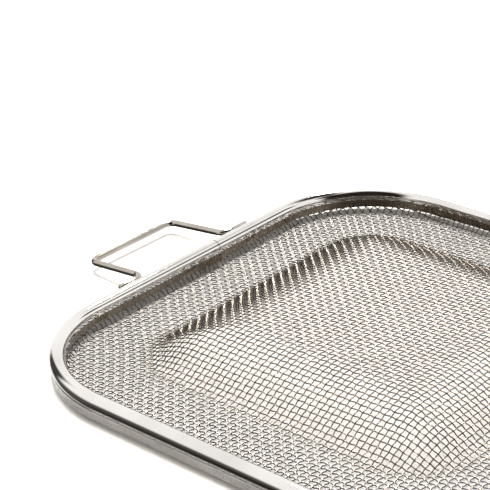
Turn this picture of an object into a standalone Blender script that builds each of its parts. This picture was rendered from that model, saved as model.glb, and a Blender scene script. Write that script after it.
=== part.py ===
"""Double sieve strainer: a coarse sieve with a rolled bead rim and two wire
handles, standing in a fine sieve with a flat band rim. Metres, +Z up, the
ledge of the fine cloth on z = 0, the handles along X."""

import math

import bmesh
import bpy
from mathutils import Vector

MM = 0.001

# rim centre line, a rounded rectangle shared by both sieves
RIM_LENGTH = 201 * MM        # along X, handle to handle
RIM_WIDTH = 220 * MM         # along Y
RIM_CORNER = 51.7 * MM
ARC_STEPS = 9                # facets in each corner

# coarse sieve, rolled bead rim whose inner side runs down as a wall
BEAD_RADIUS = 3.15 * MM
BEAD_SHEET = 0.55 * MM
BEAD_Z = 7.9 * MM
BEAD_FACETS = 15
SLOT_EDGE = -1.2 * MM        # outward edge of the slot the cloth goes up into
WALL_BOTTOM = 3.2 * MM
SEAM_Y = 13.5 * MM
SEAM_GAP = 0.35 * MM

# joining pin inside the bead, across the seam
PIN_RADIUS = 1.35 * MM
PIN_LENGTH = 41 * MM
PIN_OFFSET = 0.3 * MM
PIN_Z = 8.7 * MM
PIN_SIDES = 14

# each cloth at the rim: up inside the rim, level under it, then a slope down
# to the ledge, with the radius of each bend
COARSE_SHEET = 0.55 * MM
COARSE_EDGE_OFFSET = -1.96 * MM
COARSE_EDGE_TOP = 6.1 * MM
COARSE_UNDER_RIM = 2.56 * MM
COARSE_SLOPE_TOP = -3.36 * MM
COARSE_SLOPE_FOOT = -4.56 * MM
COARSE_Z = 0.85 * MM
COARSE_BENDS = (0.64 * MM, 0.5 * MM, 0.7 * MM)
COARSE_GRADE = 0.62          # steepest slope up to the raised centre
FINE_SHEET = 0.25 * MM
FINE_EDGE_OFFSET = 1.4 * MM
FINE_EDGE_TOP = 4.5 * MM
FINE_UNDER_RIM = 1.75 * MM
FINE_SLOPE_TOP = -3.04 * MM
FINE_SLOPE_FOOT = -4.18 * MM
FINE_Z = 0.125 * MM
FINE_BENDS = (0.6 * MM, 0.5 * MM, 0.7 * MM)
FINE_GRADE = 0.55
LEDGE_START = -6 * MM
EDGE_BEND_STEPS = 3

# raised centre of both cloths: a hollow bend at its foot, the steepest place
# above it, then a long rounded shoulder up to the flat top
RAISED_HALF_X = 75 * MM
RAISED_HALF_Y = 79 * MM
RAISED_SHIFT_Y = 4 * MM      # from the middle of the rim
RAISED_CORNER = 28 * MM
RAISED_LEAST_CORNER = 3 * MM
RAISED_FOOT = 7.8 * MM
RAISED_SHOULDER = 28.5 * MM
SHOULDER_FADE = 0.8          # power with which the slope fades out
FOOT_ROWS = 3
SHOULDER_ROWS = 6

# fine sieve, flat band rim and the strip that clamps the cloth in it
BAND_OUTER = 2.35 * MM
BAND_INNER = 1.75 * MM
BAND_BOTTOM = 1.5 * MM
BAND_TOP = 4.9 * MM
BAND_HEM = 0.2 * MM
CLAMP_OUTER = 1.0 * MM
CLAMP_INNER = 0.6 * MM
CLAMP_BOTTOM = 2.4 * MM
CLAMP_TOP = 4.2 * MM
CLAMP_GAP = 1.2 * MM

# wire handles
WIRE_RADIUS = 1.5 * MM
WIRE_SIDES = 12
GAP = 0.3 * MM
GRIP_REACH = 36.9 * MM       # rim centre line to the middle of the hand run
GRIP_HALF = 25.1 * MM
LEG_HALF = 26 * MM
GRIP_Z = 5 * MM
FOOT_Z = 8.1 * MM
FOOT_LENGTH = 14 * MM
GRIP_BEND = 4 * MM
FOOT_BEND = 5 * MM
BEND_STEPS = 5

# weld beads under the handle feet
WELD_RADIUS = 0.75 * MM
WELD_LENGTH = 5 * MM
WELD_OFFSET = 3.6 * MM
WELD_Z = 5.85 * MM
WELD_SIDES = 10
WELD_SHAPE = ((-1, 0.45), (-0.8, 0.85), (0, 1), (0.8, 0.85), (1, 0.45))

# steel finishes, colour and roughness
POLISHED = ((0.72, 0.71, 0.70), 0.08)
PIN_STEEL = ((0.55, 0.54, 0.53), 0.35)
COARSE_WOVEN = ((0.62, 0.60, 0.57), 0.3)
FINE_WOVEN = ((0.70, 0.69, 0.66), 0.4)
SATIN = ((0.66, 0.65, 0.63), 0.4)
RAW_WELD = ((0.45, 0.43, 0.41), 0.5)


def clear_scene():
    for obj in list(bpy.data.objects):
        bpy.data.objects.remove(obj, do_unlink=True)


def make_collection(name):
    col = bpy.data.collections.new(name)
    bpy.context.scene.collection.children.link(col)
    return col


def steel(name, finish):
    colour, roughness = finish
    mat = bpy.data.materials.new(name)
    mat.use_nodes = True
    shader = mat.node_tree.nodes["Principled BSDF"]
    shader.inputs["Base Color"].default_value = (*colour, 1)
    shader.inputs["Metallic"].default_value = 1
    shader.inputs["Roughness"].default_value = roughness
    return mat


def add_object(col, name, bm, finish):
    bmesh.ops.recalc_face_normals(bm, faces=bm.faces)
    if bm.calc_volume(signed=True) < 0:
        bmesh.ops.reverse_faces(bm, faces=bm.faces)
    mesh = bpy.data.meshes.new(name)
    bm.to_mesh(mesh)
    bm.free()
    obj = bpy.data.objects.new(name, mesh)
    obj.data.materials.append(steel(name + "_steel", finish))
    col.objects.link(obj)
    return obj


def ring_frames(half_x, half_y, corner, steps=ARC_STEPS):
    """Points and outward normals round a rounded rectangle, anticlockwise
    from the end of the side facing +X."""
    frames = []
    centres = ((1, 1), (-1, 1), (-1, -1), (1, -1))
    for k, (sx, sy) in enumerate(centres):
        cx, cy = sx * (half_x - corner), sy * (half_y - corner)
        for i in range(steps + 1):
            a = math.pi / 2 * (k + i / steps)
            n = Vector((math.cos(a), math.sin(a), 0))
            frames.append((Vector((cx, cy, 0)) + n * corner, n))
    return frames


def rim_frames():
    return ring_frames(RIM_LENGTH / 2, RIM_WIDTH / 2, RIM_CORNER)


def open_rim_frames(side, y, gap):
    """The rim centre line cut open on the side facing -X (side = -1) or +X,
    from one lip of the seam round to the other."""
    frames = rim_frames()
    start = 2 * (ARC_STEPS + 1) if side < 0 else 0
    run = frames[start:] + frames[:start]
    normal = Vector((side, 0, 0))
    x = side * RIM_LENGTH / 2
    first = (Vector((x, y + side * gap / 2, 0)), normal)
    last = (Vector((x, y - side * gap / 2, 0)), normal)
    return [first] + run + [last]


def skin_rows(bm, rows, wrap_rows, wrap_points):
    """Quads between rows of vertices."""
    n = len(rows[0])
    for j in range(len(rows) if wrap_rows else len(rows) - 1):
        a, b = rows[j], rows[(j + 1) % len(rows)]
        for i in range(n if wrap_points else n - 1):
            k = (i + 1) % n
            bm.faces.new((a[i], a[k], b[k], b[i]))


def sweep(profile, frames, closed):
    """Solid with the (offset, z) outline carried along the frames."""
    bm = bmesh.new()
    rows = [
        [bm.verts.new(p + n * o + Vector((0, 0, z))) for o, z in profile]
        for p, n in frames
    ]
    skin_rows(bm, rows, closed, True)
    if not closed:
        caps = [bm.faces.new(rows[0]), bm.faces.new(reversed(rows[-1]))]
        bmesh.ops.triangulate(bm, faces=caps, ngon_method="EAR_CLIP")
    return bm


def tube(points, radius, sides):
    """Round wire along points lying close to one plane."""
    bm = bmesh.new()
    up = Vector((0, 0, 1))
    rows = []
    for i, p in enumerate(points):
        before = points[max(i - 1, 0)]
        after = points[min(i + 1, len(points) - 1)]
        along = (after - before).normalized()
        side = along.cross(up).normalized()
        top = side.cross(along)
        rows.append([
            bm.verts.new(p + radius * (math.cos(a) * side + math.sin(a) * top))
            for a in (2 * math.pi * k / sides for k in range(sides))
        ])
    skin_rows(bm, rows, False, True)
    bm.faces.new(rows[0])
    bm.faces.new(reversed(rows[-1]))
    return bm


def rounded_line(corners, radii, steps=BEND_STEPS):
    """The corner points with each inner corner turned into an arc."""
    points = [corners[0]]
    for k in range(1, len(corners) - 1):
        p = corners[k]
        a = (corners[k - 1] - p).normalized()
        b = (corners[k + 1] - p).normalized()
        half = a.angle(b) / 2
        cut = radii[k - 1] / math.tan(half)
        centre = p + (a + b).normalized() * (radii[k - 1] / math.sin(half))
        start = p + a * cut - centre
        end = p + b * cut - centre
        turn = start.angle(end)
        for i in range(steps + 1):
            t = i / steps
            w = (math.sin((1 - t) * turn) * start + math.sin(t * turn) * end)
            points.append(centre + w / math.sin(turn))
    points.append(corners[-1])
    return points


def rolled_profile():
    """Outline of the rolled strip: round from the slot, under the outer side,
    over the top to the inner side, then straight down as the wall."""
    mid = BEAD_RADIUS - BEAD_SHEET / 2
    half = BEAD_SHEET / 2
    first = math.asin(SLOT_EDGE / mid) - math.pi / 2
    outer, inner = [], []
    for i in range(BEAD_FACETS + 1):
        a = first + (math.pi - first) * i / BEAD_FACETS
        c, s = math.cos(a), math.sin(a)
        outer.append(((mid + half) * c, BEAD_Z + (mid + half) * s))
        inner.append(((mid - half) * c, BEAD_Z + (mid - half) * s))
    wall = [(-mid - half, WALL_BOTTOM), (-mid + half, WALL_BOTTOM)]
    return outer + wall + inner[::-1]


def build_bead_rim(col):
    frames = open_rim_frames(-1, SEAM_Y, SEAM_GAP)
    return add_object(col, "coarse_rim_bead", sweep(rolled_profile(), frames, False),
                      POLISHED)


def build_joining_pin(col):
    x = -(RIM_LENGTH / 2 + PIN_OFFSET)
    ends = [Vector((x, SEAM_Y + s * PIN_LENGTH / 2, PIN_Z)) for s in (-1, 1)]
    return add_object(col, "coarse_rim_pin", tube(ends, PIN_RADIUS, PIN_SIDES),
                      PIN_STEEL)


def edge_rows(corners, bends):
    """Cloth mid line at the rim as (offset, z, normal), down to the ledge."""
    line = [Vector((o, z, 0)) for o, z in corners]
    line = rounded_line(line, bends, EDGE_BEND_STEPS)
    rows = []
    for i, p in enumerate(line):
        run = (line[min(i + 1, len(line) - 1)] - line[max(i - 1, 0)]).normalized()
        rows.append((p.x, p.y, (-run.y, run.x)))
    return rows


def raised_height(inset, grade):
    """Height over the ledge at a distance inside the raised outline."""
    if inset <= RAISED_FOOT:
        return grade * inset ** 2 / (2 * RAISED_FOOT)
    left = 1 - (inset - RAISED_FOOT) / RAISED_SHOULDER
    power = SHOULDER_FADE + 1
    return grade * (RAISED_FOOT / 2 + RAISED_SHOULDER / power * (1 - left ** power))


def raised_rows(level, grade):
    """Cloth mid line over the raised centre as (points, z)."""
    insets = [RAISED_FOOT * i / FOOT_ROWS for i in range(FOOT_ROWS)]
    insets += [RAISED_FOOT + RAISED_SHOULDER * i / SHOULDER_ROWS
               for i in range(SHOULDER_ROWS + 1)]
    rows = []
    for inset in insets:
        corner = max(RAISED_CORNER - inset, RAISED_LEAST_CORNER)
        frames = ring_frames(RAISED_HALF_X - inset, RAISED_HALF_Y - inset, corner)
        shift = Vector((0, RAISED_SHIFT_Y, 0))
        rows.append(([p + shift for p, n in frames], level + raised_height(inset, grade)))
    return rows


def build_cloth(col, name, sheet, edge, level, grade, finish):
    bm = bmesh.new()
    half = sheet / 2
    rim = rim_frames()
    raised = raised_rows(level, grade)
    sides = []
    for s in (1, -1):
        rows = []
        for o, z, (nh, nz) in edge:
            lift = Vector((0, 0, z + s * half * nz))
            rows.append([bm.verts.new(p + n * (o + s * half * nh) + lift) for p, n in rim])
        for points, z in raised:
            lift = Vector((0, 0, z - s * half))
            rows.append([bm.verts.new(p + lift) for p in points])
        skin_rows(bm, rows, False, True)
        tip = bm.verts.new((0, RAISED_SHIFT_Y, raised[-1][1] - s * half))
        last = rows[-1]
        for i in range(len(last)):
            bm.faces.new((last[i], last[(i + 1) % len(last)], tip))
        sides.append(rows)
    skin_rows(bm, [sides[0][0], sides[1][0]], False, True)
    return add_object(col, name, bm, finish)


def build_coarse_cloth(col):
    edge = edge_rows([
        (COARSE_EDGE_OFFSET, COARSE_EDGE_TOP), (COARSE_EDGE_OFFSET, COARSE_UNDER_RIM),
        (COARSE_SLOPE_TOP, COARSE_UNDER_RIM), (COARSE_SLOPE_FOOT, COARSE_Z),
        (LEDGE_START, COARSE_Z)], COARSE_BENDS)
    return build_cloth(col, "coarse_mesh", COARSE_SHEET, edge, COARSE_Z, COARSE_GRADE,
                       COARSE_WOVEN)


def build_fine_cloth(col):
    edge = edge_rows([
        (FINE_EDGE_OFFSET, FINE_EDGE_TOP), (FINE_EDGE_OFFSET, FINE_UNDER_RIM),
        (FINE_SLOPE_TOP, FINE_UNDER_RIM), (FINE_SLOPE_FOOT, FINE_Z),
        (LEDGE_START, FINE_Z)], FINE_BENDS)
    return build_cloth(col, "fine_mesh", FINE_SHEET, edge, FINE_Z, FINE_GRADE,
                       FINE_WOVEN)


def build_band_rim(col):
    hem = BAND_HEM
    profile = [
        (BAND_INNER, BAND_BOTTOM), (BAND_OUTER - hem, BAND_BOTTOM),
        (BAND_OUTER, BAND_BOTTOM + hem),
        (BAND_OUTER, BAND_TOP), (BAND_INNER, BAND_TOP),
    ]
    return add_object(col, "fine_rim_band", sweep(profile, rim_frames(), True),
                      SATIN)


def build_clamp_strip(col):
    profile = [
        (CLAMP_INNER, CLAMP_BOTTOM), (CLAMP_OUTER, CLAMP_BOTTOM),
        (CLAMP_OUTER, CLAMP_TOP), (CLAMP_INNER, CLAMP_TOP),
    ]
    frames = open_rim_frames(1, -SEAM_Y, CLAMP_GAP)
    return add_object(col, "fine_rim_clamp", sweep(profile, frames, False),
                      SATIN)


def handle_line(side):
    rim = RIM_LENGTH / 2
    foot = rim + BEAD_RADIUS + GAP + WIRE_RADIUS
    grip = rim + GRIP_REACH
    half = [
        (foot, LEG_HALF + FOOT_LENGTH, FOOT_Z),
        (foot, LEG_HALF, FOOT_Z),
        (grip, GRIP_HALF, GRIP_Z),
    ]
    corners = [Vector((side * x, -y, z)) for x, y, z in half]
    corners += [Vector((side * x, y, z)) for x, y, z in reversed(half)]
    return rounded_line(corners, (FOOT_BEND, GRIP_BEND, GRIP_BEND, FOOT_BEND))


def build_handle(col, name, side):
    return add_object(col, name, tube(handle_line(side), WIRE_RADIUS, WIRE_SIDES),
                      POLISHED)


def build_weld(col, name, side, end):
    x = side * (RIM_LENGTH / 2 + WELD_OFFSET)
    y = end * (LEG_HALF + FOOT_LENGTH / 2)
    bm = bmesh.new()
    rows = []
    for along, size in WELD_SHAPE:
        r = WELD_RADIUS * size
        rows.append([
            bm.verts.new((x + r * math.cos(a), y + along * WELD_LENGTH / 2,
                          WELD_Z + r * math.sin(a)))
            for a in (2 * math.pi * k / WELD_SIDES for k in range(WELD_SIDES))
        ])
    skin_rows(bm, rows, False, True)
    bm.faces.new(rows[0])
    bm.faces.new(reversed(rows[-1]))
    return add_object(col, name, bm, RAW_WELD)


def main():
    clear_scene()
    col = make_collection("double_sieve_strainer")
    build_band_rim(col)
    build_clamp_strip(col)
    build_fine_cloth(col)
    build_bead_rim(col)
    build_joining_pin(col)
    build_coarse_cloth(col)
    for tag, side in (("left", -1), ("right", 1)):
        build_handle(col, tag + "_handle_wire", side)
        for place, end in (("near", -1), ("far", 1)):
            build_weld(col, tag + "_" + place + "_weld", side, end)


main()
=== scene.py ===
"""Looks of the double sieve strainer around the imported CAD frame: smooth rolled
rim, woven wire cloths, wire handles, studio and camera."""

import math

import bpy
import numpy as np
from mathutils import Matrix, Vector


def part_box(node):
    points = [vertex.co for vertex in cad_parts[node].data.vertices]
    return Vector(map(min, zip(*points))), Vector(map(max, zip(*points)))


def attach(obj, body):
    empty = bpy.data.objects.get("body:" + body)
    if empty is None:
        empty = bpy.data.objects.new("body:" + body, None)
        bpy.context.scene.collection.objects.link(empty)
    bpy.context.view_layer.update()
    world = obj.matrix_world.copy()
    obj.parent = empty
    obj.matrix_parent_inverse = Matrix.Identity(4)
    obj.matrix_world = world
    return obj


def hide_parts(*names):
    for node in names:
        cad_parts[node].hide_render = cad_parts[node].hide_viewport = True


MM = 0.001

# rim: corner of its centre line, and sections, as in the CAD model
RIM_CORNER = 51.7 * MM
BEAD_RADIUS = 3.15 * MM
BEAD_SHEET = 0.55 * MM
SLOT_EDGE = -1.2 * MM
WALL_BOTTOM = 3.2 * MM
WALL_START = 1.4 * MM        # below the bead's middle, where its polish ends and the wall's darker colour, painted shade under the bead, begins
SEAM_Y = 13.5 * MM
SEAM_GAP = 0.35 * MM
SEAM_CLEAR = 0.2 * MM        # points of a ring nearer than this to a cut are left out

# smoothness of the rim
CORNER_STEPS = 48
STRAIGHT_STEP = 1.5 * MM
ARC_FACETS = 44
WALL_FACETS = 7

# hand-formed marks of the bead's inner side
MARKS_ABOVE = 0.6 * MM       # they fade out this far above the bead's middle
MARKS_INWARD = 0.9           # share of the bead's radius at which they are full
MARKS_TOP = 0.75             # share of the bead's radius above which there are none
WALL_INWARD = 0.75           # share of the bead's radius past which faces are the wall
FACES_LEFT = -0.999          # x of a normal on the side with the seam
LIP_FLARE = 1.15 * MM        # near lip of the seam leans in by this much
LIP_FLARE_RUN = 24 * MM
FAR_LIP_FLARE = 0.5 * MM
FAR_LIP_RUN = 9 * MM
WAVE_DEPTH = 0.10 * MM
WAVES = ((1.0, 19 * MM, 0.0), (0.7, 8.3 * MM, 1.0), (0.4, 4.7 * MM, 2.2))  # share, run, phase
BEND_MARK_DEPTH = 0.55 * MM
BEND_MARK_LENGTH = 2.4 * MM
BEND_MARK_HEIGHT = 1.0 * MM
BEND_MARK_Z = 4.0 * MM
CRIMP_DEPTH = 0.4 * MM
CRIMP_LENGTH = 5.0 * MM
CRIMP_HEIGHT = 1.1 * MM
CRIMP_Z = 5.2 * MM
CRIMPS_Y = (-8 * MM, 33 * MM)

# woven cloth
WEAVE_PITCH_X = 2.576 * MM   # from wire to wire along X, and along Y
WEAVE_PITCH_Y = 2.604 * MM
WEAVE_START_X = 3.5 * MM
WEAVE_START_Y = 2.47 * MM
WIRE_DIAMETER = 0.50 * MM
WIRE_SIDES = 6
CRIMP_AMPLITUDE = 0.25 * MM
STEPS_PER_PITCH = 4
EDGE_FINER = 3               # times as many steps where the cloth turns up
EDGE_ZONE = 7.5 * MM
LEAST_POINTS = 8             # shorter wires are left out
CLOTH_GRADE = 0.62
FINE_SHEET = 0.25 * MM
FINE_Z = 0.125 * MM
FINE_GRADE = 0.55
RAISED_HALF_X = 75 * MM
RAISED_HALF_Y = 79 * MM
RAISED_SHIFT_Y = 4 * MM
RAISED_CORNER = 28 * MM
RAISED_LEAST_CORNER = 3 * MM
RAISED_FOOT = 7.8 * MM
RAISED_SHOULDER = 28.5 * MM
SHOULDER_FADE = 0.8
PULL_REACH = 22 * MM         # how far past the raised centre its pull on the wires goes
# corners and bend radii of each cloth's edge, (offset from the rim line, z)
COARSE_EDGE = ((-1.96, 6.1), (-1.96, 2.56), (-3.36, 2.56), (-4.56, 0.85), (-6.0, 0.85))
COARSE_BENDS = (0.64, 0.5, 0.7)
FINE_EDGE = ((1.4, 4.5), (1.4, 1.75), (-3.04, 1.75), (-4.18, 0.125), (-6.0, 0.125))
FINE_BENDS = (0.6, 0.5, 0.7)
EDGE_BEND_STEPS = 8
WIRE_END_OFFSET = -2.1 * MM
TAIL_RISE = (0.35, 0.9, 1.8, 2.6)      # mm up from where a wire meets the wall
TAIL_OUT = (0.10, 0.16, 0.16, 0.16)    # and mm outwards
SLOPE_STEP = 0.05 * MM
PULL_STEP = 0.01 * MM
PULL_ROUNDS = 6
SLACK_STEPS = 200
FINE_CORNER_STEPS = 16
FINE_STRAIGHT_STEP = 12 * MM
FINE_FOOT_ROWS = 9
FINE_SHOULDER_ROWS = 25

# band rim and clamp strip of the fine sieve
BAND_OUTER = 2.35 * MM
BAND_INNER = 1.75 * MM
BAND_HEM = 0.3 * MM
BAND_HEM_STEPS = 5
BAND_BULGE = 0.04 * MM
BAND_LEVELS = (0.2, 0.4, 0.6, 0.8)
BAND_EDGE = 0.1 * MM
BAND_STRAIGHT_STEP = 4 * MM
CLAMP_OUTER = 1.0 * MM
CLAMP_INNER = 0.6 * MM
CLAMP_GAP = 1.2 * MM
CLAMP_NIP = 0.12 * MM        # its edges are broken by this much
CLAMP_STRAIGHT_STEP = 6 * MM

# round wires, pin and welds
DOME = ((0.0, -0.5), (0.55, -0.42), (0.85, -0.24))   # of an end: girth, place, in radii
DOME_DEPTH = 0.5
DOME_LEAST = 0.02
PIN_STEPS = 12
PIN_SIDES = 24
WELD_RINGS = 22
WELD_SIDES = 18
WELD_TAPER = 3.2
WELD_LEAST = 0.12
WELD_LUMP = 0.07
WELD_LUMPS = 9.5

# handles
HANDLE_RADIUS = 1.5 * MM
HANDLE_SIDES = 32
GRIP_HALF = 25.1 * MM
LEG_HALF = 26 * MM
FOOT_LENGTH = 14 * MM
GRIP_BEND = 4 * MM
FOOT_BEND = 5 * MM
HANDLE_BEND_STEPS = 14
GAP = 0.3 * MM

# materials
NOISE_LOW, NOISE_HIGH = 0.3, 0.7       # what noise is stretched from
LINES_FINER = 6                        # drawn lines against the clouds of colour
FINE_WEAVE_SCALE = 314.16              # one line of the fine cloth's weave a millimetre

# studio
FLOOR_HALF = 6.0
FLOOR_COLOUR = (0.92, 0.885, 0.85, 1)
BACKDROP_RADIUS = 8.0
BACKDROP_ROWS, BACKDROP_COLUMNS = 24, 48
BACKDROP_TIP = 0.001
DARK_SQUARENESS = 3.0        # 2 would make the dark areas ellipses
WORLD_STRENGTH = 1.2
WORLD_DARK = (0.012, 0.008, 0.005, 1)
WORLD_LIGHT = (1.0, 0.995, 0.985, 1)
LAMP_COLOUR = (1.0, 0.985, 0.965)

# camera, in the row frame
CAMERA_PLACE = (0.33987, -0.47157, 0.32408)
CAMERA_YAW = -41.1018
CAMERA_PITCH = 25.7160
CAMERA_ROLL = -1.4480
CAMERA_LENS = 124.267
CAMERA_SENSOR = 36.0
CAMERA_CLIP = (0.05, 30.0)

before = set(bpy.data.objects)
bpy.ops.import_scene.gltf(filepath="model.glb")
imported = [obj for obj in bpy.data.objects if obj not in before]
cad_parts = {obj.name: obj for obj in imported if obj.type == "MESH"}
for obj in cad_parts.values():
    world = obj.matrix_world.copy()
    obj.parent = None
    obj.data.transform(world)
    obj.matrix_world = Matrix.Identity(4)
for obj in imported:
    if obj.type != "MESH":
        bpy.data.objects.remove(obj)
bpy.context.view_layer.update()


# ------------------------------------------------------------------ shapes

def ring(half_x, half_y, corner, corner_steps, straight_step):
    """Points and outward normals round a rounded rectangle, anticlockwise
    from the end of the +X side, with points along the straight sides too."""
    points, normals = [], []
    centres = ((1, 1), (-1, 1), (-1, -1), (1, -1))
    for k, (sx, sy) in enumerate(centres):
        centre = np.array([sx * (half_x - corner), sy * (half_y - corner)])
        for i in range(corner_steps + 1):
            a = math.pi / 2 * (k + i / corner_steps)
            n = np.array([math.cos(a), math.sin(a)])
            points.append(centre + n * corner)
            normals.append(n)
        nx, ny = centres[(k + 1) % 4]
        start = points[-1]
        stop = np.array([nx * (half_x - corner), ny * (half_y - corner)]) + n * corner
        count = max(1, round(float(np.linalg.norm(stop - start)) / straight_step))
        for i in range(1, count):
            points.append(start + (stop - start) * i / count)
            normals.append(n)
    return np.array(points), np.array(normals)


def opened(points, normals, side, y, gap):
    """The same ring cut open at a butt seam on the side facing -X or +X."""
    on_side = np.abs(normals[:, 0] - side) < 1e-9
    clear = gap / 2 + SEAM_CLEAR
    after = [k for k in range(len(points))
             if on_side[k] and side * (points[k, 1] - y) > clear]
    start = min(after, key=lambda k: abs(points[k, 1] - y))
    run = [(start + k) % len(points) for k in range(len(points))]
    keep = [k for k in run if not (on_side[k] and abs(points[k, 1] - y) < clear)]
    x = points[start, 0]
    first = np.array([[x, y + side * gap / 2]])
    last = np.array([[x, y - side * gap / 2]])
    n = np.array([[float(side), 0.0]])
    return (np.vstack([first, points[keep], last]),
            np.vstack([n, normals[keep], n]))


def mesh_object(name, verts, faces, smooth_angle=35):
    """faces is a list of arrays, each with one row of indices per face."""
    mesh = bpy.data.meshes.new(name)
    verts = np.asarray(verts, np.float32)
    totals = np.concatenate([np.full(len(f), f.shape[1]) for f in faces])
    loops = np.concatenate([f.ravel() for f in faces])
    mesh.vertices.add(len(verts))
    mesh.vertices.foreach_set("co", verts.ravel())
    mesh.loops.add(len(loops))
    mesh.loops.foreach_set("vertex_index", loops.astype(np.int32))
    mesh.polygons.add(len(totals))
    starts = np.concatenate([[0], np.cumsum(totals)[:-1]])
    mesh.polygons.foreach_set("loop_start", starts.astype(np.int32))
    mesh.polygons.foreach_set("use_smooth", np.ones(len(totals), bool))
    mesh.update(calc_edges=True)
    mesh.validate()
    if smooth_angle:
        mesh.set_sharp_from_angle(angle=math.radians(smooth_angle))
    piece = bpy.data.objects.new(name, mesh)
    bpy.context.scene.collection.objects.link(piece)
    return piece


def grid_faces(rows, columns, wrap_rows, wrap_columns):
    """Quads between neighbouring points of a grid, closed round either way."""
    r = np.arange(rows if wrap_rows else rows - 1)
    c = np.arange(columns if wrap_columns else columns - 1)
    r, c = np.meshgrid(r, c, indexing="ij")
    r2, c2 = (r + 1) % rows, (c + 1) % columns
    quads = np.stack([r * columns + c, r * columns + c2,
                      r2 * columns + c2, r2 * columns + c], -1)
    return quads.reshape(-1, 4)


def rounded_line(corners, radii, steps):
    """The corner points with each inner corner turned into an arc."""
    corners = [Vector(c) for c in corners]
    points = [corners[0]]
    for k in range(1, len(corners) - 1):
        p = corners[k]
        a = (corners[k - 1] - p).normalized()
        b = (corners[k + 1] - p).normalized()
        half = a.angle(b) / 2
        cut = radii[k - 1] / math.tan(half)
        centre = p + (a + b).normalized() * (radii[k - 1] / math.sin(half))
        start, end = p + a * cut - centre, p + b * cut - centre
        turn = start.angle(end)
        for i in range(steps + 1):
            t = i / steps
            w = math.sin((1 - t) * turn) * start + math.sin(t * turn) * end
            points.append(centre + w / math.sin(turn))
    points.append(corners[-1])
    return points


def tube(name, points, radius, sides):
    """Round wire through points that never run straight up, with domed ends."""
    points = [Vector(p) for p in points]
    rows = []
    first = (points[1] - points[0]).normalized()
    last = (points[-1] - points[-2]).normalized()
    stations = [(points[0] + first * radius * (back + DOME_DEPTH), radius * share, first)
                for share, back in DOME]
    for i, p in enumerate(points):
        if i == 0:
            p = p + first * radius * DOME_DEPTH
        if i == len(points) - 1:
            p = p - last * radius * DOME_DEPTH
        before, after = points[max(i - 1, 0)], points[min(i + 1, len(points) - 1)]
        stations.append((p, radius, (after - before).normalized()))
    stations += [(points[-1] - last * radius * (back + DOME_DEPTH), radius * share, last)
                 for share, back in reversed(DOME)]
    for centre, size, along in stations:
        side = along.cross(Vector((0, 0, 1))).normalized()
        top = side.cross(along)
        size = max(size, radius * DOME_LEAST)
        rows.append([centre + size * (math.cos(a) * side + math.sin(a) * top)
                     for a in (2 * math.pi * k / sides for k in range(sides))])
    verts = np.array([v[:] for row in rows for v in row])
    quads = grid_faces(len(rows), sides, False, True)
    caps = np.array([list(range(sides))[::-1],
                     list(range((len(rows) - 1) * sides, len(rows) * sides))])
    return mesh_object(name, verts, [quads, caps], 60)


def bump(t, width):
    """A rounded bump, 1 where t is 0."""
    return np.exp(-(t / width) ** 2)


def ramp(t):
    """Rises smoothly from 0 to 1 as t does."""
    t = np.clip(t, 0, 1)
    return t * t * (3 - 2 * t)


# ---------------------------------------------------------- bead of the rim

bead_low, bead_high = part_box("coarse_rim_bead")
RIM_HALF_X = round(bead_high.x - BEAD_RADIUS, 4)
RIM_HALF_Y = round(bead_high.y - BEAD_RADIUS, 4)
BEAD_Z = round(bead_high.z - BEAD_RADIUS, 4)


def bead_profile():
    """Outer and inner side of the rolled strip as matching (offset, z) lists."""
    mid = BEAD_RADIUS - BEAD_SHEET / 2
    half = BEAD_SHEET / 2
    first = math.asin(SLOT_EDGE / mid) - math.pi / 2
    outer, inner = [], []
    for i in range(ARC_FACETS + 1):
        a = first + (math.pi - first) * i / ARC_FACETS
        outer.append(((mid + half) * math.cos(a), BEAD_Z + (mid + half) * math.sin(a)))
        inner.append(((mid - half) * math.cos(a), BEAD_Z + (mid - half) * math.sin(a)))
    for i in range(1, WALL_FACETS + 1):
        z = BEAD_Z + (WALL_BOTTOM - BEAD_Z) * i / WALL_FACETS
        outer.append((-mid - half, z))
        inner.append((-mid + half, z))
    return np.array(outer), np.array(inner)


def inner_side_marks(points, normals, z, share):
    """How far the inner side leans or bulges inwards, in metres. share is 0 on
    the outer and top side of the bead and 1 on its inner side."""
    x, y = points[:, 0, None], points[:, 1, None]
    marks_top = BEAD_Z + MARKS_ABOVE
    low = np.clip((marks_top - z) / (marks_top - WALL_BOTTOM), 0, 1)
    left = (normals[:, 0, None] < FACES_LEFT).astype(float)
    near = ramp((y - (SEAM_Y - LIP_FLARE_RUN)) / LIP_FLARE_RUN) * (y <= SEAM_Y)
    far = ramp((SEAM_Y + FAR_LIP_RUN - y) / FAR_LIP_RUN) * (y > SEAM_Y)
    lean = left * low * (LIP_FLARE * near - FAR_LIP_FLARE * far)
    along = np.cumsum(np.r_[0, np.linalg.norm(np.diff(points, axis=0), axis=1)])[:, None]
    wave = sum(part * np.sin(along / length + phase) for part, length, phase in WAVES)
    wave = wave * WAVE_DEPTH * low
    marks = 0
    for sx in (-1, 1):
        for sy in (-1, 1):
            for px, py in ((RIM_HALF_X, RIM_HALF_Y - RIM_CORNER),
                           (RIM_HALF_X - RIM_CORNER, RIM_HALF_Y)):
                gone = np.hypot(x - sx * px, y - sy * py)
                marks = marks + (BEND_MARK_DEPTH * bump(gone, BEND_MARK_LENGTH)
                                 * bump(z - BEND_MARK_Z, BEND_MARK_HEIGHT))
    for py in CRIMPS_Y:
        marks = marks + (left * CRIMP_DEPTH * bump(y - py, CRIMP_LENGTH)
                         * bump(z - CRIMP_Z, CRIMP_HEIGHT))
    return (lean + wave + marks) * share


def swept(points, normals, offsets, z):
    """Vertices of a section carried along the frames; offsets may differ from
    frame to frame."""
    offsets = np.broadcast_to(offsets, (len(points), offsets.shape[-1]))
    xy = points[:, None, :] + normals[:, None, :] * offsets[..., None]
    zz = np.broadcast_to(z, offsets.shape)[..., None]
    return np.concatenate([xy, zz], -1)


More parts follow.
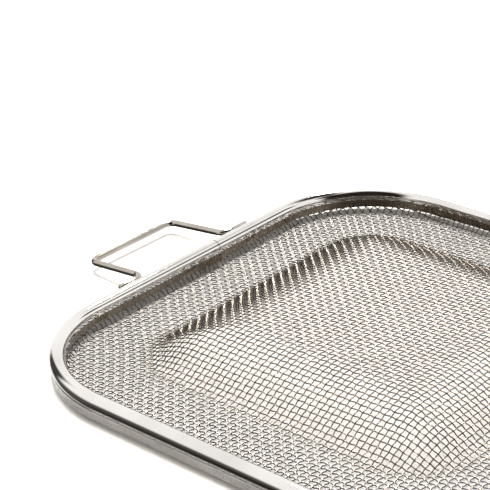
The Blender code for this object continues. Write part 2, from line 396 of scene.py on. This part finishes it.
def make_bead():
    """The rolled strip, cut at its seam, with its own material on the wall: rougher, and darker
    as painted shade under the bead.
    """
    points, normals = ring(RIM_HALF_X, RIM_HALF_Y, RIM_CORNER, CORNER_STEPS, STRAIGHT_STEP)
    points, normals = opened(points, normals, -1, SEAM_Y, SEAM_GAP)
    outer, inner = bead_profile()
    sides = []
    for profile in (outer, inner):
        inward = np.clip(-profile[:, 0] / (BEAD_RADIUS * MARKS_INWARD), 0, 1)
        share = inward ** 2 * (profile[:, 1] < BEAD_Z + BEAD_RADIUS * MARKS_TOP)
        z = profile[None, :, 1]
        offsets = profile[None, :, 0] - inner_side_marks(points, normals, z, share[None])
        sides.append(swept(points, normals, offsets, z))
    count = len(outer)
    loop = np.concatenate([sides[0], sides[1][:, ::-1]], 1)
    columns = 2 * count
    verts = loop.reshape(-1, 3)
    quads = grid_faces(len(points), columns, False, True)
    cap = []
    for base, flip in ((0, True), ((len(points) - 1) * columns, False)):
        for i in range(count - 1):
            q = [base + i, base + i + 1,
                 base + columns - 2 - i, base + columns - 1 - i]
            cap.append(q[::-1] if flip else q)
    rim = mesh_object("bead_rim", verts, [quads, np.array(cap)])
    middle = verts[quads].mean(1)
    offset = rim_offset(middle[:, 0], middle[:, 1])
    # faces of the wall, which get the material with painted shade under the bead
    wall = (offset < -WALL_INWARD * BEAD_RADIUS) & (middle[:, 2] < BEAD_Z - WALL_START)
    slots = np.zeros(len(rim.data.polygons), np.int32)
    slots[:len(quads)] = wall
    rim.data.polygons.foreach_set("material_index", slots)
    return rim


# ------------------------------------------------------------- wire cloths

def edge_line(corners, bends):
    """Section of a cloth's turned-up edge as (offset, z) points, inwards."""
    line = rounded_line([(o * MM, z * MM, 0) for o, z in corners],
                        [r * MM for r in bends], EDGE_BEND_STEPS)
    return np.array([p[:2] for p in line])


def round_rect_distance(x, y, half_x, half_y, corner):
    """Distance outside a rounded rectangle, negative inside it."""
    qx = np.abs(x) - (half_x - corner)
    qy = np.abs(y) - (half_y - corner)
    return (np.hypot(np.maximum(qx, 0), np.maximum(qy, 0))
            + np.minimum(np.maximum(qx, qy), 0) - corner)


def rim_offset(x, y):
    """Distance outside the rim's centre line, negative inside it."""
    return round_rect_distance(x, y, RIM_HALF_X, RIM_HALF_Y, RIM_CORNER)


def raised_inset(x, y):
    """Distance inside the foot of the raised centre."""
    return -round_rect_distance(x, y - RAISED_SHIFT_Y,
                                RAISED_HALF_X, RAISED_HALF_Y, RAISED_CORNER)


def raised_height(inset, grade):
    """Height of the raised centre: a rounded foot, then a slope that eases
    off to a flat top."""
    inset = np.maximum(inset, 0)
    left = np.clip(1 - (inset - RAISED_FOOT) / RAISED_SHOULDER, 0, 1)
    power = SHOULDER_FADE + 1
    foot = inset ** 2 / (2 * RAISED_FOOT)
    shoulder = RAISED_FOOT / 2 + RAISED_SHOULDER / power * (1 - left ** power)
    return grade * np.where(inset < RAISED_FOOT, foot, shoulder)


def cloth_height(x, y, edge, grade):
    """Height of a cloth over a point, without the upright part of its edge."""
    rim = edge[np.argmax(edge[:, 0] < edge[0, 0] - 1e-7) - 1:]
    return (np.interp(-rim_offset(x, y), -rim[:, 0], rim[:, 1])
            + raised_height(raised_inset(x, y), grade))


def slack_table():
    """How much longer the cloth is than its plan, summed outwards from the flat
    top, against the distance inside the raised outline."""
    inset = np.linspace(0, RAISED_FOOT + RAISED_SHOULDER, SLACK_STEPS)
    slope = np.gradient(raised_height(inset, CLOTH_GRADE), inset)
    extra = np.hypot(1, slope) - 1
    total = np.cumsum(extra[::-1])[::-1] * (inset[1] - inset[0])
    return inset, total


def drawn_in(x, y, table):
    """Plan place of a point of the flat cloth once the centre is pressed up and
    has pulled the wires round it inwards."""
    px, py = x.copy(), y.copy()
    e = PULL_STEP
    for _ in range(PULL_ROUNDS):
        inset = raised_inset(px, py)
        nx = (raised_inset(px - e, py) - raised_inset(px + e, py)) / (2 * e)
        ny = (raised_inset(px, py - e) - raised_inset(px, py + e)) / (2 * e)
        pull = np.interp(inset, *table, left=table[1][0], right=0)
        pull = pull * np.exp(-np.maximum(-inset, 0) / PULL_REACH)
        px, py = x - nx * pull, y - ny * pull
    return px, py


def cut_at_rim(x, y):
    """The stretch of a wire between the two places where it meets the rim."""
    offset = rim_offset(x, y)
    inside = np.flatnonzero(offset < WIRE_END_OFFSET)
    if len(inside) < LEAST_POINTS:
        return None
    first, last = inside[0], inside[-1]

    def crossing(k, m):
        t = (WIRE_END_OFFSET - offset[k]) / (offset[m] - offset[k])
        return np.array([x[k] + t * (x[m] - x[k]), y[k] + t * (y[m] - y[k])])
    return first, last, crossing(first, first - 1), crossing(last, last + 1)


def with_tails(centre):
    """A wire's centre line with both its ends turned up inside the wall."""
    rise, out = np.array(TAIL_RISE) * MM, np.array(TAIL_OUT) * MM
    tails = []
    for k, inner in ((0, 1), (-1, -2)):
        away = centre[k] - centre[inner]
        away[2] = 0
        away /= np.linalg.norm(away)
        tails.append(centre[k] + out[:, None] * away + rise[:, None] * [0, 0, 1])
    return np.vstack([tails[0][::-1], centre, tails[1]])


def weave(name, along_x, numbers, edge, table):
    """The wires of one direction with the given numbers, as one mesh."""
    ring_angles = np.arange(WIRE_SIDES) * 2 * math.pi / WIRE_SIDES
    own, other = WEAVE_PITCH_Y, WEAVE_PITCH_X
    own_start, other_start = WEAVE_START_Y, WEAVE_START_X
    if not along_x:
        own, other = other, own
        own_start, other_start = other_start, own_start
    reach = int((RIM_HALF_X if along_x else RIM_HALF_Y) / other) + 3
    steps = STEPS_PER_PITCH * EDGE_FINER
    count = np.arange(-reach * steps, reach * steps + 1) / steps

    def z_at(px, py):
        return cloth_height(px, py, edge, CLOTH_GRADE)

    verts, faces, caps, start = [], [], [], 0
    for number in numbers:
        t = count * other + other_start
        fixed = np.full_like(t, number * own + own_start)
        x, y = drawn_in(*((t, fixed) if along_x else (fixed, t)), table)
        cut = cut_at_rim(x, y)
        if cut is None:
            continue
        first, last, head, tail = cut
        keep = rim_offset(x, y) > -EDGE_ZONE
        keep[::EDGE_FINER] = True
        keep[:first] = False
        keep[last + 1:] = False
        sign = -1 if number % 2 == 0 else 1
        swing = sign * np.cos(math.pi * count[keep]) * (1 if along_x else -1)
        x = np.r_[head[0], x[keep], tail[0]]
        y = np.r_[head[1], y[keep], tail[1]]
        swing = np.r_[swing[0], swing, swing[-1]]
        e = SLOPE_STEP
        z = z_at(x, y)
        gx = (z_at(x + e, y) - z_at(x - e, y)) / (2 * e)
        gy = (z_at(x, y + e) - z_at(x, y - e)) / (2 * e)
        normal = np.stack([-gx, -gy, np.ones_like(gx)], -1)
        normal /= np.linalg.norm(normal, axis=1)[:, None]
        centre = np.stack([x, y, z], -1) + normal * (CRIMP_AMPLITUDE * swing)[:, None]
        centre = with_tails(centre)
        run = np.gradient(centre, axis=0)
        run /= np.linalg.norm(run, axis=1)[:, None]
        across = np.array([0.0, 1, 0] if along_x else [1.0, 0, 0])
        side = across - run * (run @ across)[:, None]
        side /= np.linalg.norm(side, axis=1)[:, None]
        top = np.cross(side, run)
        rings = centre[:, None] + WIRE_DIAMETER / 2 * (
            np.cos(ring_angles)[None, :, None] * side[:, None]
            + np.sin(ring_angles)[None, :, None] * top[:, None])
        verts.append(rings.reshape(-1, 3))
        flip = slice(None) if along_x else slice(None, None, -1)
        faces.append(grid_faces(len(centre), WIRE_SIDES, False, True)[:, flip] + start)
        end = start + (len(centre) - 1) * WIRE_SIDES
        loop = list(range(WIRE_SIDES))
        caps += [[start + k for k in (loop[::-1] if along_x else loop)],
                 [end + k for k in (loop if along_x else loop[::-1])]]
        start += len(centre) * WIRE_SIDES
    return mesh_object(name, np.vstack(verts), [np.vstack(faces), np.array(caps)], 0)


def make_coarse_cloth():
    """All its wires, in four pieces so that none has too many faces."""
    edge = edge_line(COARSE_EDGE, COARSE_BENDS)
    table = slack_table()
    rows = int(RIM_HALF_Y / WEAVE_PITCH_Y) + 3
    columns = int(RIM_HALF_X / WEAVE_PITCH_X) + 4
    return [
        weave("coarse_wires_along_x_near", True, range(-rows, 0), edge, table),
        weave("coarse_wires_along_x_far", True, range(0, rows), edge, table),
        weave("coarse_wires_along_y_left", False, range(-columns, 0), edge, table),
        weave("coarse_wires_along_y_right", False, range(0, columns), edge, table),
    ]


def make_fine_cloth():
    """Thin closed sheet that follows the fine cloth, edge to crown."""
    edge = edge_line(FINE_EDGE, FINE_BENDS)
    points, normals = ring(RIM_HALF_X, RIM_HALF_Y, RIM_CORNER,
                           FINE_CORNER_STEPS, FINE_STRAIGHT_STEP)
    run = np.gradient(edge, axis=0)
    run /= np.linalg.norm(run, axis=1)[:, None]
    edge_normal = np.stack([-run[:, 1], run[:, 0]], -1)
    rows = []
    for s in (1, -1):
        half = s * FINE_SHEET / 2
        stack = [swept(points, normals, (edge[None, k, 0] + half * edge_normal[k, 0])[:, None],
                       (edge[None, k, 1] + half * edge_normal[k, 1])[:, None])[:, 0]
                 for k in range(len(edge))]
        shares = np.linspace(0, 1, FINE_SHOULDER_ROWS)[1:]
        insets = np.r_[np.linspace(0, RAISED_FOOT, FINE_FOOT_ROWS),
                       RAISED_FOOT + RAISED_SHOULDER * shares]
        for inset in insets:
            corner = max(RAISED_CORNER - inset, RAISED_LEAST_CORNER)
            half_x, half_y = RAISED_HALF_X - inset, RAISED_HALF_Y - inset
            base = points - normals * RIM_CORNER
            scale = [(half_x - corner) / (RIM_HALF_X - RIM_CORNER),
                     (half_y - corner) / (RIM_HALF_Y - RIM_CORNER)]
            xy = base * scale + normals * corner + [0, RAISED_SHIFT_Y]
            z = FINE_Z + raised_height(inset, FINE_GRADE) - half
            stack.append(np.column_stack([xy, np.full(len(xy), z)]))
        rows.append(stack)
    count = len(points)
    top, bottom = np.array(rows[1]), np.array(rows[0])
    levels = len(top)
    sheet = np.concatenate([bottom[::-1], top]).reshape(-1, 3)
    tips = np.array([[0, RAISED_SHIFT_Y, side[-1, 0, 2]] for side in (bottom, top)])
    verts = np.vstack([sheet, tips])
    quads = grid_faces(2 * levels, count, False, True)
    k = np.arange(count)
    low = np.stack([k, (k + 1) % count, np.full(count, len(sheet))], -1)[:, ::-1]
    last = (2 * levels - 1) * count
    high = np.stack([last + k, last + (k + 1) % count, np.full(count, len(sheet) + 1)], -1)
    return mesh_object("fine_cloth", verts, [quads, np.vstack([low, high])], 50)


# ------------------------------------------------- band, clamp, pin, welds

def make_band():
    """Flat strip with a rounded lower edge and a slightly hollow face."""
    low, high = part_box("fine_rim_band")
    turns = [math.pi / 2 * k / BAND_HEM_STEPS for k in range(BAND_HEM_STEPS + 1)]
    rise = high.z - low.z - BAND_HEM
    profile = [(BAND_INNER, low.z)]
    profile += [(BAND_OUTER - BAND_HEM + BAND_HEM * math.sin(a),
                 low.z + BAND_HEM * (1 - math.cos(a))) for a in turns]
    profile += [(BAND_OUTER - BAND_BULGE * math.sin(math.pi * t), low.z + BAND_HEM + rise * t)
                for t in BAND_LEVELS]
    profile += [(BAND_OUTER, high.z - BAND_EDGE), (BAND_OUTER - BAND_EDGE, high.z),
                (BAND_INNER, high.z)]
    points, normals = ring(RIM_HALF_X, RIM_HALF_Y, RIM_CORNER, CORNER_STEPS, BAND_STRAIGHT_STEP)
    profile = np.array(profile)
    verts = swept(points, normals, profile[None, :, 0], profile[None, :, 1]).reshape(-1, 3)
    quads = grid_faces(len(points), len(profile), True, True)
    return mesh_object("band_rim", verts, [quads], 40)


def make_clamp():
    """Strip with broken edges, open at the far end."""
    low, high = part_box("fine_rim_clamp")
    nip = CLAMP_NIP
    profile = np.array([
        (CLAMP_INNER + nip, low.z), (CLAMP_OUTER - nip, low.z), (CLAMP_OUTER, low.z + nip),
        (CLAMP_OUTER, high.z - nip), (CLAMP_OUTER - nip, high.z), (CLAMP_INNER + nip, high.z),
        (CLAMP_INNER, high.z - nip), (CLAMP_INNER, low.z + nip)])
    points, normals = ring(RIM_HALF_X, RIM_HALF_Y, RIM_CORNER, CORNER_STEPS, CLAMP_STRAIGHT_STEP)
    points, normals = opened(points, normals, 1, -SEAM_Y, CLAMP_GAP)
    verts = swept(points, normals, profile[None, :, 0], profile[None, :, 1]).reshape(-1, 3)
    count = len(profile)
    last = (len(points) - 1) * count
    caps = np.array([list(range(count))[::-1], [last + k for k in range(count)]])
    return mesh_object("clamp_strip", verts,
                       [grid_faces(len(points), count, False, True), caps], 40)


def make_pin():
    low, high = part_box("coarse_rim_pin")
    middle = (low + high) / 2
    radius = (high.z - low.z) / 2
    line = [(middle.x, low.y + (high.y - low.y) * k / PIN_STEPS, middle.z)
            for k in range(PIN_STEPS + 1)]
    return tube("seam_pin", line, radius, PIN_SIDES)


def make_weld(node):
    """A lumpy run of weld metal filling the CAD weld's box."""
    low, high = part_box(node)
    middle, size = (low + high) / 2, (high - low) / 2
    rings, sides = WELD_RINGS, WELD_SIDES
    rows = []
    for i in range(rings):
        t = -1 + 2 * i / (rings - 1)
        girth = math.sqrt(max(1 - abs(t) ** WELD_TAPER, 0.0))
        girth = max(girth, WELD_LEAST) * (1 - WELD_LUMP + WELD_LUMP * math.cos(WELD_LUMPS * t))
        rows.append([(middle.x + size.x * girth * math.cos(a),
                      middle.y + size.y * t,
                      middle.z + size.z * girth * math.sin(a))
                     for a in (2 * math.pi * k / sides for k in range(sides))])
    verts = np.array(rows).reshape(-1, 3)
    last = (rings - 1) * sides
    caps = np.array([list(range(sides))[::-1], [last + k for k in range(sides)]])
    quads = grid_faces(rings, sides, False, True)
    return mesh_object(node + "_bead", verts, [quads, caps], 60)


def make_handle(tag, side):
    """Bent wire: foot along the rim, leg, grip, leg, foot."""
    low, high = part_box(tag + "_handle_wire")
    reach = abs(low.x if side < 0 else high.x) - HANDLE_RADIUS
    foot = RIM_HALF_X + BEAD_RADIUS + GAP + HANDLE_RADIUS
    foot_z, grip_z = high.z - HANDLE_RADIUS, low.z + HANDLE_RADIUS
    half = [(foot, LEG_HALF + FOOT_LENGTH, foot_z), (foot, LEG_HALF, foot_z),
            (reach, GRIP_HALF, grip_z)]
    corners = [(side * x, -y, z) for x, y, z in half]
    corners += [(side * x, y, z) for x, y, z in reversed(half)]
    bends = (FOOT_BEND, GRIP_BEND, GRIP_BEND, FOOT_BEND)
    line = rounded_line(corners, bends, HANDLE_BEND_STEPS)
    return tube(tag + "_handle", line, HANDLE_RADIUS, HANDLE_SIDES)


# --------------------------------------------------------------- materials

def new_material(name):
    mat = bpy.data.materials.new(name)
    mat.use_nodes = True
    tree = mat.node_tree
    return mat, tree, tree.nodes["Principled BSDF"]


def add(tree, kind, **inputs):
    node = tree.nodes.new(kind)
    for key, value in inputs.items():
        node.inputs[key.replace("_", " ")].default_value = value
    return node


def object_space(tree, scale):
    place = tree.nodes.new("ShaderNodeTexCoord")
    mapping = tree.nodes.new("ShaderNodeMapping")
    mapping.inputs["Scale"].default_value = scale
    tree.links.new(place.outputs["Object"], mapping.inputs["Vector"])
    return mapping.outputs["Vector"]


def noise(tree, vector, scale, detail=4.0):
    node = add(tree, "ShaderNodeTexNoise", Scale=scale, Detail=detail)
    tree.links.new(vector, node.inputs["Vector"])
    return node.outputs["Fac"]


def ranged(tree, value, to_low, to_high, low=NOISE_LOW, high=NOISE_HIGH):
    node = tree.nodes.new("ShaderNodeMapRange")
    for key, number in (("From Min", low), ("From Max", high),
                        ("To Min", to_low), ("To Max", to_high)):
        node.inputs[key].default_value = number
    tree.links.new(value, node.inputs["Value"])
    return node.outputs["Result"]


def mixed(tree, value, first, second):
    node = tree.nodes.new("ShaderNodeMix")
    node.data_type = "RGBA"
    node.inputs["A"].default_value = (*first, 1)
    node.inputs["B"].default_value = (*second, 1)
    tree.links.new(value, node.inputs["Factor"])
    return node.outputs["Result"]


def bumped(tree, shader, height, strength, distance):
    node = add(tree, "ShaderNodeBump", Strength=strength, Distance=distance)
    tree.links.new(height, node.inputs["Height"])
    tree.links.new(node.outputs["Normal"], shader.inputs["Normal"])


def steel(name, light, dark, rough, scale, stretch, strength,
          metallic=1.0, depth=0.02 * MM):
    """Steel with cloudy colour, uneven polish and fine drawn or rolled lines.
    rough is its least and greatest roughness, scale the clouds of colour and
    stretch the lines, per axis; strength and depth are those of the lines."""
    mat, tree, shader = new_material(name)
    shader.inputs["Metallic"].default_value = metallic
    clouds = noise(tree, object_space(tree, (1, 1, 1)), scale, 3.0)
    lines = noise(tree, object_space(tree, stretch), scale * LINES_FINER, 5.0)
    tint = ranged(tree, clouds, 0.0, 1.0)
    tree.links.new(mixed(tree, tint, light, dark), shader.inputs["Base Color"])
    tree.links.new(ranged(tree, lines, *rough), shader.inputs["Roughness"])
    bumped(tree, shader, lines, strength, depth)
    return mat


def fine_cloth_material():
    """See-through cloth with weave lines both ways. The lines are a millimetre
    apart, so each stands for two of the real cloth's wires."""
    mat, tree, shader = new_material("fine_woven_cloth")
    shader.inputs["Metallic"].default_value = 0.0
    shader.inputs["Alpha"].default_value = 0.19
    place = object_space(tree, (1, 1, 1))
    waves = []
    for turn in (0.0, math.pi / 2):
        mapping = tree.nodes.new("ShaderNodeMapping")
        mapping.inputs["Rotation"].default_value = (0, 0, turn)
        tree.links.new(place, mapping.inputs["Vector"])
        wave = add(tree, "ShaderNodeTexWave", Scale=FINE_WEAVE_SCALE, Distortion=0.0)
        wave.bands_direction = "X"
        wave.wave_profile = "SIN"
        tree.links.new(mapping.outputs["Vector"], wave.inputs["Vector"])
        waves.append(wave.outputs["Fac"])
    top = tree.nodes.new("ShaderNodeMath")
    top.operation = "MAXIMUM"
    for k in (0, 1):
        tree.links.new(waves[k], top.inputs[k])
    tone = ranged(tree, top.outputs["Value"], 0.0, 1.0, 0.2, 0.95)
    colour = mixed(tree, tone, (0.20, 0.19, 0.175), (0.36, 0.345, 0.325))
    tree.links.new(colour, shader.inputs["Base Color"])
    rough = ranged(tree, noise(tree, place, 60.0), 0.42, 0.58)
    tree.links.new(rough, shader.inputs["Roughness"])
    bumped(tree, shader, top.outputs["Value"], 0.35, 0.05 * MM)
    return mat


MIRROR = steel(
    "mirror_polished_steel", (0.80, 0.78, 0.755), (0.66, 0.635, 0.61),
    rough=(0.035, 0.085), scale=35.0, stretch=(0.25, 0.25, 2.0), strength=0.04)
# wall under the bead: its rolled lines and rougher finish are its own, its dark brown colour is
# painted shade
SHADED_WALL_STEEL = steel(
    "rolled_wall_steel_painted_shade", (0.27, 0.23, 0.185), (0.18, 0.15, 0.12),
    rough=(0.20, 0.32), scale=30.0, stretch=(6.0, 6.0, 0.4), strength=0.05)
HANDLE_STEEL = steel(
    "polished_wire_steel", (0.50, 0.465, 0.42), (0.38, 0.345, 0.305),
    rough=(0.06, 0.14), scale=60.0, stretch=(3.0, 0.4, 3.0), strength=0.08)
WIRE_STEEL = steel(
    "cloth_wire_steel", (0.20, 0.176, 0.148), (0.12, 0.104, 0.086),
    rough=(0.06, 0.12), scale=120.0, stretch=(1.0, 1.0, 1.0), strength=0.10)
SATIN_STEEL = steel(
    "satin_band_steel", (0.64, 0.625, 0.60), (0.50, 0.485, 0.46),
    rough=(0.26, 0.42), scale=45.0, stretch=(22.0, 22.0, 0.6), strength=0.5,
    metallic=0.60, depth=0.04 * MM)
CLAMP_STEEL = steel(
    "rolled_strip_steel", (0.66, 0.65, 0.63), (0.54, 0.53, 0.51),
    rough=(0.30, 0.48), scale=50.0, stretch=(0.5, 0.5, 6.0), strength=0.2)
PIN_STEEL = steel(
    "drawn_pin_steel", (0.52, 0.51, 0.50), (0.38, 0.37, 0.36),
    rough=(0.22, 0.40), scale=80.0, stretch=(8.0, 0.4, 8.0), strength=0.2)
WELD_STEEL = steel(
    "weld_bead_steel", (0.46, 0.43, 0.40), (0.26, 0.22, 0.19),
    rough=(0.35, 0.62), scale=300.0, stretch=(1.0, 1.0, 1.0), strength=0.5)


# ------------------------------------------------------------ build pieces

def put(piece, material, body, slot, *nodes):
    """Gives a piece its material and its body, and hides the nodes it stands for; slot is not
    used.
    """
    piece.data.materials.append(material)
    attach(piece, body)
    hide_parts(*nodes)
    return piece


bead = put(make_bead(), MIRROR, "coarse_sieve", "polished_steel", "coarse_rim_bead")
# the wall's material, darkened with painted shade under the bead
bead.data.materials.append(SHADED_WALL_STEEL)
put(make_pin(), PIN_STEEL, "coarse_sieve", "plain_steel", "coarse_rim_pin")
for cloth in make_coarse_cloth():
    put(cloth, WIRE_STEEL, "coarse_sieve", "coarse_cloth", "coarse_mesh")
for tag, side in (("left", -1), ("right", 1)):
    put(make_handle(tag, side), HANDLE_STEEL, "coarse_sieve", "polished_steel",
        tag + "_handle_wire")
    for place in ("near", "far"):
        node = tag + "_" + place + "_weld"
        put(make_weld(node), WELD_STEEL, "coarse_sieve", "weld_metal", node)
put(make_fine_cloth(), fine_cloth_material(), "fine_sieve", "fine_cloth", "fine_mesh")
put(make_band(), SATIN_STEEL, "fine_sieve", "satin_steel", "fine_rim_band")
put(make_clamp(), CLAMP_STEEL, "fine_sieve", "satin_steel", "fine_rim_clamp")


# ------------------------------------------------------------------ studio

def make_floor():
    mesh = bpy.data.meshes.new("floor")
    corners = [(x * FLOOR_HALF, y * FLOOR_HALF, 0)
               for x, y in ((-1, -1), (1, -1), (1, 1), (-1, 1))]
    mesh.from_pydata(corners, [], [(0, 1, 2, 3)])
    floor = bpy.data.objects.new("floor", mesh)
    bpy.context.scene.collection.objects.link(floor)
    mat, tree, shader = new_material("floor_paper")
    shader.inputs["Base Color"].default_value = FLOOR_COLOUR
    shader.inputs["Roughness"].default_value = 1.0
    shader.inputs["Specular IOR Level"].default_value = 0.0
    mesh.materials.append(mat)
    floor.visible_glossy = False


def make_backdrop():
    """White all round for the camera alone; other rays see the studio."""
    mesh = bpy.data.meshes.new("backdrop")
    ball = bpy.data.objects.new("backdrop", mesh)
    rows, columns = BACKDROP_ROWS, BACKDROP_COLUMNS
    t, p = np.meshgrid(np.linspace(BACKDROP_TIP, math.pi - BACKDROP_TIP, rows),
                       np.arange(columns) * 2 * math.pi / columns, indexing="ij")
    verts = BACKDROP_RADIUS * np.stack(
        [np.sin(t) * np.cos(p), np.sin(t) * np.sin(p), np.cos(t)], -1)
    quads = grid_faces(rows, columns, False, True)
    mesh.from_pydata(verts.reshape(-1, 3).tolist(), [], quads.tolist())
    bpy.context.scene.collection.objects.link(ball)
    mat = bpy.data.materials.new("backdrop_white")
    mat.use_nodes = True
    tree = mat.node_tree
    tree.nodes.clear()
    glow = add(tree, "ShaderNodeEmission", Strength=1.0)
    glow.inputs["Color"].default_value = (1.0, 1.0, 1.0, 1)
    out = tree.nodes.new("ShaderNodeOutputMaterial")
    tree.links.new(glow.outputs["Emission"], out.inputs["Surface"])
    mesh.materials.append(mat)
    for key in ("visible_diffuse", "visible_glossy", "visible_shadow", "visible_transmission"):
        setattr(ball, key, False)


# dark areas of the made-up studio: azimuth from +Y towards +X, elevation, half
# sizes, all in degrees, how dark they make it, and how soft their edge is
DARK_AREAS = (
    (132, 20, 43, 58, 0.99, 0.14),     # the open side, where the camera stands
    (90, 43, 15, 12, 0.97, 0.25),      # gap round the overhead light, its right end
    (38, 62, 50, 10, 0.95, 0.30),      # the same gap at the back
    (345, 60, 24, 12, 0.80, 0.50),     # its left end
    (34, 31, 16, 6, 0.97, 0.35),       # seam of the back cloth
    (167, 48, 16, 24, 0.65, 0.40),     # edge of the open side
    (272, 8, 13, 26, 0.95, 0.35),      # stand on the left
    (234, -46, 42, 52, 0.93, 0.24),    # dark table in front
    (180, -58, 66, 34, 0.94, 0.25),    # the same, nearer the camera
)


def make_world():
    """Pale all round, darker where DARK_AREAS says."""
    world = bpy.data.worlds.new("studio")
    bpy.context.scene.world = world
    world.use_nodes = True
    tree = world.node_tree
    tree.nodes.clear()

    def calc(operation, *values):
        node = tree.nodes.new("ShaderNodeMath")
        node.operation = operation
        for k, value in enumerate(values):
            if isinstance(value, (int, float)):
                node.inputs[k].default_value = value
            else:
                tree.links.new(value, node.inputs[k])
        return node.outputs["Value"]

    place = tree.nodes.new("ShaderNodeTexCoord")
    split = tree.nodes.new("ShaderNodeSeparateXYZ")
    tree.links.new(place.outputs["Generated"], split.inputs["Vector"])
    in_degrees = 180 / math.pi
    azimuth = calc("ARCTAN2", split.outputs["X"], split.outputs["Y"])
    azimuth = calc("MULTIPLY", azimuth, in_degrees)
    elevation = calc("MULTIPLY", calc("ARCSINE", split.outputs["Z"]), in_degrees)
    light = None
    for mid_a, mid_e, half_a, half_e, depth, edge in DARK_AREAS:
        turn = calc("WRAP", calc("SUBTRACT", azimuth, mid_a), 180.0, -180.0)
        rise = calc("SUBTRACT", elevation, mid_e)
        u, v = (calc("POWER", calc("ABSOLUTE", calc("DIVIDE", gone, half)), DARK_SQUARENESS)
                for gone, half in ((turn, half_a), (rise, half_e)))
        reach = calc("POWER", calc("ADD", u, v), 1 / DARK_SQUARENESS)
        soft = tree.nodes.new("ShaderNodeMapRange")
        soft.interpolation_type = "SMOOTHSTEP"
        for key, number in (("From Min", 1 - edge), ("From Max", 1 + edge),
                            ("To Min", 1 - depth), ("To Max", 1.0)):
            soft.inputs[key].default_value = number
        tree.links.new(reach, soft.inputs["Value"])
        part = soft.outputs["Result"]
        light = part if light is None else calc("MULTIPLY", light, part)
    tint = tree.nodes.new("ShaderNodeMix")
    tint.data_type = "RGBA"
    tint.inputs["A"].default_value = WORLD_DARK
    tint.inputs["B"].default_value = WORLD_LIGHT
    tree.links.new(light, tint.inputs["Factor"])
    sky = add(tree, "ShaderNodeBackground", Strength=WORLD_STRENGTH)
    tree.links.new(tint.outputs["Result"], sky.inputs["Color"])
    out = tree.nodes.new("ShaderNodeOutputWorld")
    tree.links.new(sky.outputs["Background"], out.inputs["Surface"])


def area_light(name, place, size, power, unseen_by):
    """Square lamp aimed at the origin. unseen_by names the rays that miss it."""
    data = bpy.data.lights.new(name, "AREA")
    data.shape = "SQUARE"
    data.size = size
    data.energy = power
    data.color = LAMP_COLOUR
    lamp = bpy.data.objects.new(name, data)
    lamp.location = place
    lamp.rotation_mode = "QUATERNION"
    lamp.rotation_quaternion = Vector(place).to_track_quat("Z", "Y")
    setattr(lamp, unseen_by, False)
    bpy.context.scene.collection.objects.link(lamp)


def make_camera():
    data = bpy.data.cameras.new("camera")
    data.lens = CAMERA_LENS
    data.sensor_width = CAMERA_SENSOR
    data.clip_start, data.clip_end = CAMERA_CLIP
    camera = bpy.data.objects.new("camera", data)
    bpy.context.scene.collection.objects.link(camera)
    yaw, pitch, roll = (math.radians(a) for a in (CAMERA_YAW, CAMERA_PITCH, CAMERA_ROLL))
    ahead = Vector((math.sin(yaw) * math.cos(pitch),
                    math.cos(yaw) * math.cos(pitch),
                    -math.sin(pitch)))
    right = Vector((math.cos(yaw), -math.sin(yaw), 0))
    up = right.cross(ahead)
    turned_right = math.cos(roll) * right + math.sin(roll) * up
    turned_up = -math.sin(roll) * right + math.cos(roll) * up
    camera.matrix_world = Matrix.Translation(CAMERA_PLACE) @ Matrix(
        (turned_right, turned_up, -ahead)).transposed().to_4x4()
    bpy.context.scene.camera = camera


make_floor()
make_backdrop()
make_world()
area_light("key", (-0.20, 0.26, 1.60), 0.9, 74.0, "visible_glossy")
area_light("glint", (-0.62, 0.80, 1.45), 0.5, 55.0, "visible_diffuse")
make_camera()
bpy.context.scene.view_settings.view_transform = "Standard"
